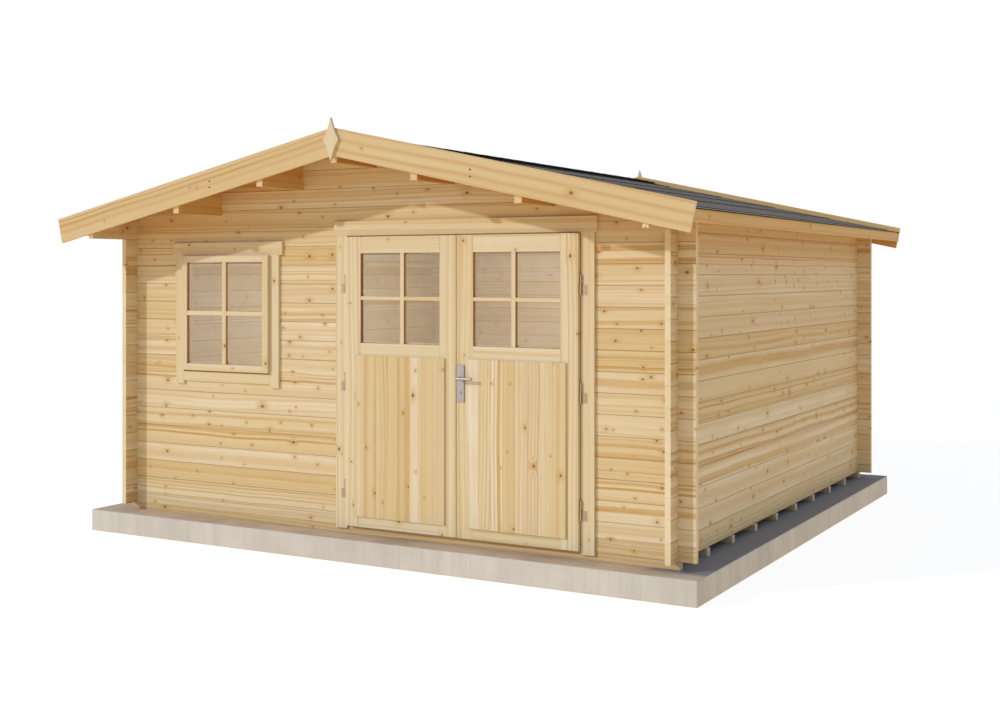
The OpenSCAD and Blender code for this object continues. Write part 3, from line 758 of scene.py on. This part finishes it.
def add_grain(piece, tilt=0.0):
    """Stores the grain on a piece whose boards may slope with the roof."""
    modifier = piece.modifiers.new("grain", "NODES")
    modifier.node_group = GRAIN
    socket = next(i for i in GRAIN.interface.items_tree if i.name == "Tilt")
    modifier[socket.identifier] = tilt


def set_material(piece, material):
    """Gives a piece one material in place of all others."""
    piece.data.materials.clear()
    piece.data.materials.append(material)


def add_object(name, data):
    """A new object in the scene."""
    made = bpy.data.objects.new(name, data)
    bpy.context.scene.collection.objects.link(made)
    return made


class Maker:
    """Gathers closed solids into one mesh."""

    def __init__(self):
        self.points = []
        self.faces = []

    def band(self, first, second, count):
        """Faces between two rings of points, given by their first numbers."""
        for i in range(count):
            j = (i + 1) % count
            self.faces.append((first + i, first + j, second + j, second + i))

    def loft(self, first, second):
        """A solid between two outlines with as many points."""
        count = len(first)
        base = len(self.points)
        self.points += [Vector(p) for p in first] + [Vector(p) for p in second]
        self.faces.append(tuple(range(base, base + count)))
        self.faces.append(tuple(range(base + count, base + 2 * count)))
        self.band(base, base + count, count)

    def block(self, low, high):
        """A box between two corners."""
        corners = [(low[0], low[1]), (high[0], low[1]), (high[0], high[1]), (low[0], high[1])]
        self.loft([(x, y, low[2]) for x, y in corners], [(x, y, high[2]) for x, y in corners])

    def screw(self, centre, outward, radius):
        """A low screw head with a star recess, sunk to its rim."""
        turn = Vector(outward).to_track_quat("Z", "Y")
        rings = ((1.0, 0.0, 0.0), (1.0, 0.0, SCREW_RISE / 2), (HEAD_TOP, 0.0, SCREW_RISE),
                 (STAR_SIZE, STAR_WAVE, SCREW_RISE), (STAR_SIZE, STAR_WAVE, STAR_FLOOR))
        starts = []
        for share, wave, height in rings:
            starts.append(len(self.points))
            for i in range(SCREW_SIDES):
                angle = math.tau * i / SCREW_SIDES
                reach = radius * share * (1 + wave * (-1) ** i)
                offset = Vector((reach * math.cos(angle), reach * math.sin(angle), height))
                self.points.append(Vector(centre) + turn @ offset)
        for lower, upper in zip(starts, starts[1:]):
            self.band(lower, upper, SCREW_SIDES)
        for start in (starts[0], starts[-1]):
            self.faces.append(tuple(range(start, start + SCREW_SIDES)))

    def piece(self, name, body, material, slot, replaces=(), bevel=0.0):
        """Makes the object that rides on a body."""
        mesh = bpy.data.meshes.new(name)
        mesh.from_pydata(self.points, [], self.faces)
        work = bmesh.new()
        work.from_mesh(mesh)
        bmesh.ops.recalc_face_normals(work, faces=work.faces)
        work.to_mesh(mesh)
        work.free()
        made = add_object(name, mesh)
        set_material(made, material)
        add_bevel(made, bevel)
        add_grain(made)
        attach(made, body)
        if replaces:
            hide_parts(*replaces)


def spans(low, high, width):
    """Equal stretches of about a width between two places, with a hair gap between them."""
    count = max(1, round((high - low) / width))
    step = (high - low) / count
    return [(low + i * step, low + (i + 1) * step - BOARD_GAP) for i in range(count)]


def board_outline(side0, side1, back, face, joint):
    """Cross-section of a board from its back to its face, with a chamfer at both joints of the face."""
    foot = face + math.copysign(joint, back - face)
    return [(side0, back), (side1, back), (side1, foot),
            (side1 - joint, face), (side0 + joint, face), (side0, foot)]


def roof_boards(side):
    """Boards from ridge to eave, with a V joint that shows from below; their orange is partly painted shade.
    """
    name = f"{side}_roof_deck"
    low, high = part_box(name)
    inner, outer = sorted((abs(low.x), abs(high.x)))
    rise = DECK_T / math.cos(ROOF_PITCH)
    slope = (high.z - rise - low.z) / (outer - inner)
    sign = -1 if side == "left" else 1
    maker = Maker()
    for y0, y1 in spans(low.y, high.y, ROOF_BOARD_W):
        outline = board_outline(y0, y1, rise, 0.0, ROOF_JOINT)
        ends = [[(sign * x, y, low.z + (outer - x) * slope + h) for y, h in outline] for x in (inner, outer)]
        maker.loft(*ends)
    maker.piece(f"{side}_roof_boards", "cabin", PINE_SHADE_ORANGE, "pine_board", [name])


def felt_strips(side):
    """Strips of felt along the roof over a base sheet, each lapping the one below it, and a pale eave strip
    that is a painted highlight.
    """
    name = f"{side}_roof_covering"
    low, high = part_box(name)
    inner, outer = sorted((abs(low.x), abs(high.x)))
    slope = math.tan(ROOF_PITCH)
    rise = high.z - low.z - (outer - inner) * slope
    sign = -1 if side == "left" else 1

    def sheet(x0, x1, y0, y1, upper, lower):
        """Both ends of a sheet, with its thickness at the upper and at the lower edge."""
        section = [(x0, 0), (x1, 0), (x1, lower), (x0, upper)]
        return [[(sign * x, y, low.z + (outer - x) * slope + t) for x, t in section] for y in (y0, y1)]

    eave_edge = outer - EAVE_STRIP
    ridge_edge = inner + RIDGE_STRIP
    maker = Maker()
    maker.loft(*sheet(inner, outer, low.y, high.y, BASE_SHEET, BASE_SHEET))
    for row, (x0, x1) in enumerate(spans(ridge_edge, eave_edge, FELT_STRIP)):
        joint = low.y + (high.y - low.y) * STRIP_JOINTS[row % 2]
        for y0, y1 in ((low.y, joint - BOARD_GAP), (joint + BOARD_GAP, high.y)):
            maker.loft(*sheet(x0, x1, y0, y1, STRIP_THIN, rise))
    maker.piece(f"{side}_felt_strips", "cabin", FELT, "roof_felt", [name])
    # The pale eave strip is a painted highlight; the ridge strip is near-black felt
    for part, material, x0, x1 in (("eave", EAVE_HIGHLIGHT_FELT, eave_edge, outer),
                                   ("ridge", RIDGE_FELT, inner, ridge_edge - BOARD_GAP)):
        edge = Maker()
        edge.loft(*sheet(x0, x1, low.y, high.y, STRIP_THIN, rise))
        edge.piece(f"{side}_{part}_strip", "cabin", material, "roof_felt")


def ridge_tabs():
    """Bent felt pieces along the ridge, each lying on the one before it."""
    low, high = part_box("ridge_cap")
    wing = high.x
    drop = wing * math.tan(ROOF_PITCH)
    under = low.z + drop
    maker = Maker()
    for y0, y1 in spans(low.y, high.y, CAP_LENGTH):
        ends = []
        for y, top in ((y0, high.z), (y1, high.z - CAP_LAP)):
            ends.append([(-wing, y, under - drop), (0, y, under), (wing, y, under - drop),
                         (wing, y, top - drop), (0, y, top), (-wing, y, top - drop)])
        maker.loft(*ends)
    maker.piece("ridge_tabs", "cabin", RIDGE_FELT, "roof_felt", ["ridge_cap"])


def floor_boards():
    """Boards across the joists with a small V joint on top."""
    low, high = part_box("floor_deck")
    maker = Maker()
    for x0, x1 in spans(low.x, high.x, FLOOR_BOARD_W):
        outline = board_outline(x0, x1, low.z, high.z, FLOOR_JOINT)
        maker.loft([(x, low.y, z) for x, z in outline], [(x, high.y, z) for x, z in outline])
    maker.piece("floor_boards", "cabin", PINE_BOARD, "pine_board", ["floor_deck"])


def leaf_boarding(side):
    """Upright boards of a leaf: the raised face, and the filling between stiles and rails behind it."""
    name = f"{side}_leaf_panel"
    low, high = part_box(name)
    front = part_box(f"{side}_leaf_frame")[0].y
    glass_low, glass_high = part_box(f"{side}_leaf_glass")
    margin = glass_low.x - low.x
    width = (high.x - low.x) / LEAF_BOARD_COUNT
    maker = Maker()
    raised = (low.x, high.x, low.y, low.z, high.z)
    filling = (glass_low.x, glass_high.x, high.y, low.z + margin, high.z - margin)
    for left, right, face, foot, top in (raised, filling):
        for x0, x1 in spans(left, right, width):
            outline = board_outline(x0, x1, front, face, LEAF_JOINT)
            maker.loft([(x, y, foot) for x, y in outline], [(x, y, top) for x, y in outline])
    maker.piece(f"{side}_leaf_boarding", f"{side}_leaf", PINE_PANEL, "pine_board", [name])


def glazing_bars(low, high, columns, rows, front, back):
    """An upright bar with a crossbar on either side of it, outside and inside of a pane."""
    bars = Maker()
    left, right = columns[0][1], columns[1][0]
    lower, upper = rows[0][1], rows[1][0]
    for y0, y1 in ((front, low.y), (high.y, back)):
        bars.block((left, y0, low.z), (right, y1, high.z))
        for x0, x1 in ((low.x, left - BOARD_GAP), (right + BOARD_GAP, high.x)):
            bars.block((x0, y0 + CROSSBAR_SETBACK, lower), (x1, y1, upper))
    return bars


def glazing_beads(low, high, columns):
    """Beads along the edges of a pane, on its inside."""
    beads = Maker()
    section = [(BEAD * a, BEAD * b) for a, b in BEAD_OUTLINE]
    for x, inward in ((low.x, 1), (high.x, -1)):
        ring = [(x + inward * a, high.y + b) for a, b in section]
        beads.loft([(a, b, low.z + BEAD) for a, b in ring], [(a, b, high.z - BEAD) for a, b in ring])
    for z, inward in ((low.z, 1), (high.z, -1)):
        ring = [(z + inward * a, high.y + b) for a, b in section]
        for x0, x1 in columns:
            beads.loft([(x0, b, a) for a, b in ring], [(x1, b, a) for a, b in ring])
    return beads


def glazing_shade_tape(low, columns, rows, front):
    """Tape round each light, outside of the pane, which also paints the shade on the sides of the bars."""
    shade_strips = Maker()
    outer = front + SHADE_TAPE_SETBACK
    for x0, x1 in columns:
        for z0, z1 in rows:
            shade_strips.block((x0, outer, z0), (x0 + SHADE_TAPE_T, low.y, z1))
            shade_strips.block((x1 - SHADE_TAPE_T, outer, z0), (x1, low.y, z1))
            shade_strips.block((x0 + SHADE_TAPE_T, outer, z0), (x1 - SHADE_TAPE_T, low.y, z0 + SHADE_TAPE_T))
            shade_strips.block((x0 + SHADE_TAPE_T, outer, z1 - SHADE_TAPE_T), (x1 - SHADE_TAPE_T, low.y, z1))
    return shade_strips


def glazing(name, body, pane, holder, bar_w, bar_h, shift=0.0):
    """Bars that quarter a pane, outside and inside, beads inside and glazing tape round each light, partly
    painted shade.
    """
    low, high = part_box(pane)
    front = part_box(holder)[0].y + BAR_SETBACK
    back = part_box(holder)[1].y - BAR_SETBACK
    mid_x = (low.x + high.x) / 2 + shift
    mid_z = (low.z + high.z) / 2
    columns = ((low.x, mid_x - bar_w / 2), (mid_x + bar_w / 2, high.x))
    rows = ((low.z, mid_z - bar_h / 2), (mid_z + bar_h / 2, high.z))
    bars = glazing_bars(low, high, columns, rows, front, back)
    bars.piece(f"{name}_bars", body, PINE_BOARD, "pine_board", bevel=BAR_ROUND)
    glazing_beads(low, high, columns).piece(f"{name}_beads", body, PINE_BOARD, "pine_board")
    # The tape's brown strips stand in for the shade on the sides of the bars
    glazing_shade_tape(low, columns, rows, front).piece(f"{name}_seals", body, PAINTED_SHADE_TAPE, "pine_board")


def bargeboard_screws(end, outward):
    """A pair of screws through the middle of each bargeboard."""
    low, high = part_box(f"{end}_bargeboards")
    y = low.y if outward < 0 else high.y
    middle = high.z - BARGE_SCREW_X * math.tan(ROOF_PITCH) - BARGE_SCREW_DROP
    maker = Maker()
    for x in (-BARGE_SCREW_X, BARGE_SCREW_X):
        for drop in (-BARGE_SCREW_GAP / 2, BARGE_SCREW_GAP / 2):
            maker.screw((x, y, middle + drop), (0, outward, 0), BARGE_SCREW_R)
    maker.piece(f"{end}_bargeboard_screws", "cabin", BRONZED_STEEL, "steel")


def hinge_screws():
    """Screws in the flaps on the trims, which hang below the hinge halves of the leaves."""
    flap_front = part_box("door_trims")[0].y - FLAP_T
    low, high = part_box("door_frame_hinges")
    heights = sorted({round(v.co.z, 4) for v in frame["nodes"]["left_leaf_hinges"].data.vertices})
    feet = [heights[0]] + [b for a, b in zip(heights, heights[1:]) if b - a > HINGES_APART]
    maker = Maker()
    for foot in feet:
        for x in (low.x + HINGE_SCREW_EDGE, high.x - HINGE_SCREW_EDGE):
            for drop in HINGE_SCREW_DROPS:
                maker.screw((x, flap_front, foot - drop), (0, -1, 0), HINGE_SCREW_R)
    maker.piece("hinge_screws", "cabin", HINGE_STEEL, "steel")


def handle_details():
    """Two screws on each handle plate, and a dark strip on its key cylinder, painted shade in place of a cut
    slot.
    """
    low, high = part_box("handle_plates")
    lever_low, lever_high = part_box("lever_handle")
    mid_x = (low.x + high.x) / 2
    key_z = (lever_low.z + lever_high.z) / 2 - KEY_DROP
    screws = Maker()
    slots = Maker()
    for cylinder, outward in ((low.y, -1), (high.y, 1)):
        for z in (low.z + PLATE_SCREW_EDGE, high.z - PLATE_SCREW_EDGE):
            screws.screw((mid_x, cylinder - outward * KEY_RISE, z), (0, outward, 0), PLATE_SCREW_R)
        y0, y1 = sorted((cylinder, cylinder + outward * SLOT_RISE))
        slots.block((mid_x - SLOT_HALF, y0, key_z - SLOT_BELOW), (mid_x + SLOT_HALF, y1, key_z + SLOT_ABOVE))
    screws.piece("plate_screws", "right_leaf", STEEL, "steel")
    # The slots are dark strips laid on the cylinder, painted shade of a keyhole
    slots.piece("key_slots", "right_leaf", SLOT_SHADE_STEEL, "steel")


# Finish and soft edge of each material slot; None means no joined points, no soft edges and no grain
SLOT_LOOKS = {
    "pine_log": (PINE_LOG, 0.0),
    "pine_board": (PINE_BOARD, BOARD_ROUND),
    "concrete": (CONCRETE, SLAB_ROUND),
    "steel": (STEEL, None),
    "glass": (GLASS, None),
    "roof_felt": (FELT, None),
}

# Solids whose finish differs from that of their slot
NODE_LOOKS = {
    "front_bargeboards": PINE_GOLDEN,
    "floor_joists": PINE_GOLDEN,
    "rear_bargeboards": PINE_AMBER,
    "eave_fascias": PINE_AMBER,
    "door_threshold": PINE_AMBER,
    # Amber on the purlins is partly painted shade: their sides lie in the shade under the eaves
    "left_purlins": PINE_AMBER,
    "right_purlins": PINE_AMBER,
    "ridge_purlin": PINE_AMBER,
    "left_leaf_hinges": HINGE_STEEL,
    "right_leaf_hinges": HINGE_STEEL,
    "door_frame_hinges": HINGE_STEEL,
}


def dress_nodes():
    """Finishes on the solids that keep their own shape."""
    for row in frame["record"]["subparts"]:
        name, slot = row["node"], row["material_slot"]
        node = frame["nodes"][name]
        material, bevel = SLOT_LOOKS[slot]
        set_material(node, NODE_LOOKS.get(name, material))
        if bevel is None:
            continue
        add_bevel(node, bevel)
        if slot != "concrete":
            add_grain(node, -ROOF_PITCH if "bargeboards" in name else 0.0)


def make_camera():
    """The camera of the photograph."""
    data = bpy.data.cameras.new("camera")
    data.lens = LENS_MM
    data.sensor_width = SENSOR_MM
    data.shift_y = HORIZON_SHIFT
    data.clip_end = VIEW_REACH
    camera = add_object("camera", data)
    camera.location = CAMERA_PLACE
    camera.rotation_euler = (math.pi / 2, 0.0, CAMERA_HEADING)
    bpy.context.scene.camera = camera


def seen_directly(nodes):
    """1 for rays from the camera, mirrors and glass, which see a white background."""
    path = nodes.add("ShaderNodeLightPath").outputs
    seen = nodes.math("MAXIMUM", path["Is Camera Ray"], path["Is Glossy Ray"])
    return nodes.math("MAXIMUM", seen, path["Is Transmission Ray"])


def distant_lamp(name, travel, strength, colour, angle):
    """A lamp whose light comes from far away in one direction."""
    data = bpy.data.lights.new(name, "SUN")
    data.energy = strength
    data.color = colour
    data.angle = angle
    lamp = add_object(name, data)
    lamp.rotation_euler = Vector(travel).to_track_quat("-Z", "Y").to_euler()


def room_lamp():
    """A soft lamp in the room, which itself isn't seen."""
    data = bpy.data.lights.new("room_lamp", "POINT")
    data.energy = ROOM_LAMP_POWER
    data.color = ROOM_LAMP_COLOUR
    data.shadow_soft_size = ROOM_LAMP_RADIUS
    lamp = add_object("room_lamp", data)
    lamp.location = ROOM_LAMP_PLACE
    lamp.visible_camera = False


def make_sky():
    """Even light, and a white background."""
    world = bpy.data.worlds.new("sky")
    bpy.context.scene.world = world
    world.use_nodes = True
    nodes = Nodes(world.node_tree)
    sky = nodes.find("BACKGROUND")
    sky.inputs["Color"].default_value = SKY_COLOUR
    sky.inputs["Strength"].default_value = SKY_STRENGTH
    white = nodes.add("ShaderNodeBackground", {"Color": WHITE, "Strength": 1.0})
    both = nodes.add("ShaderNodeMixShader",
                     {0: seen_directly(nodes), 1: sky.outputs[0], 2: white.outputs[0]})
    nodes.feed(nodes.find("OUTPUT_WORLD").inputs["Surface"], both.outputs[0])


def make_floor():
    """A pale floor that is white to the camera apart from the shadow that lies on it."""
    mesh = bpy.data.meshes.new("floor")
    signs = ((-1, -1), (1, -1), (1, 1), (-1, 1))
    corners = [(x * FLOOR_HALF, y * FLOOR_HALF, -FLOOR_DROP) for x, y in signs]
    mesh.from_pydata(corners, [], [(0, 1, 2, 3)])
    floor = add_object("floor", mesh)
    material, nodes, shader = new_material("pale_floor")
    shader.inputs["Base Color"].default_value = FLOOR_COLOUR
    shader.inputs["Roughness"].default_value = FLOOR_ROUGHNESS
    shader.inputs["Specular IOR Level"].default_value = 0.0
    # Painted bounce light: to all but camera, mirror and glass rays the floor glows warm and lights the
    # cabin from below
    glow_colour = nodes.mix(seen_directly(nodes), FLOOR_BOUNCE_GLOW, FLOOR_GLOW)
    glow = nodes.add("ShaderNodeEmission", {"Color": glow_colour})
    both = nodes.add("ShaderNodeAddShader", {0: shader.outputs[0], 1: glow.outputs[0]})
    nodes.feed(nodes.find("OUTPUT_MATERIAL").inputs["Surface"], both.outputs[0])
    set_material(floor, material)


make_camera()
distant_lamp("sun", SUN_TRAVEL, SUN_STRENGTH, SUN_COLOUR, SUN_ANGLE)
distant_lamp("front_fill", FILL_TRAVEL, FILL_STRENGTH, FILL_COLOUR, FILL_ANGLE)
room_lamp()
make_sky()
make_floor()
dress_nodes()
for side, bar_shift in (("left", LEAF_BAR_SHIFT), ("right", -LEAF_BAR_SHIFT)):
    leaf = f"{side}_leaf"
    roof_boards(side)
    felt_strips(side)
    leaf_boarding(side)
    glazing(leaf, leaf, f"{leaf}_glass", f"{leaf}_frame", LEAF_BAR_W, LEAF_BAR_H, bar_shift)
glazing("window", "cabin", "window_glass", "window_sash", WINDOW_BAR_W, WINDOW_BAR_H)
ridge_tabs()
floor_boards()
bargeboard_screws("front", -1)
bargeboard_screws("rear", 1)
hinge_screws()
handle_details()

bpy.context.scene.view_settings.view_transform = "Standard"
